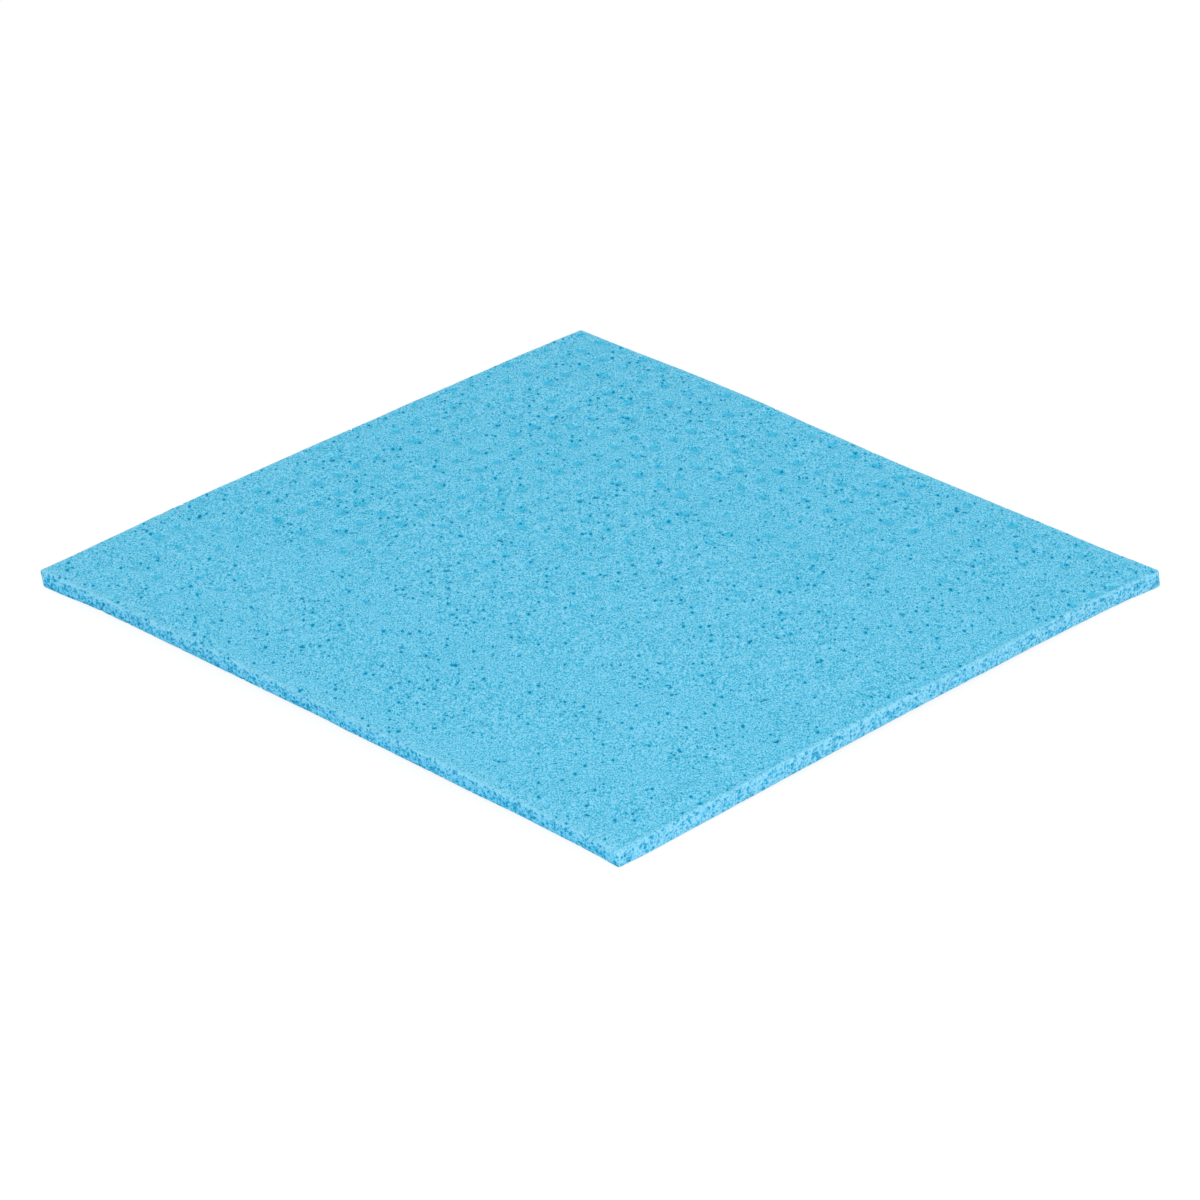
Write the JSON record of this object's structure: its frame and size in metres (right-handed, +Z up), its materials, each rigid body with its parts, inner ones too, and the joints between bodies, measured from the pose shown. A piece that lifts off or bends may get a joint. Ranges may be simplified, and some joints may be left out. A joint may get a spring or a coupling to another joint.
{
  "type": "sponge cloth",
  "caption": "Flat, nearly square cellulose sponge cloth: one thin foam sheet with plain cut edges, for wiping and drying surfaces.",
  "frame": {"origin": "centre of the cloth's underside, on the surface it lies on", "axes": "+X along the cloth's longer sides, +Y along its shorter sides, +Z up out of its upper face"},
  "size_m": [0.2004, 0.1904, 0.0042],
  "materials": {
    "cellulose_foam": "matt open-pored cellulose foam, light blue"
  },
  "bodies": {
    "root": {"sponge_cloth": "cellulose_foam"}
  },
  "joints": []
}
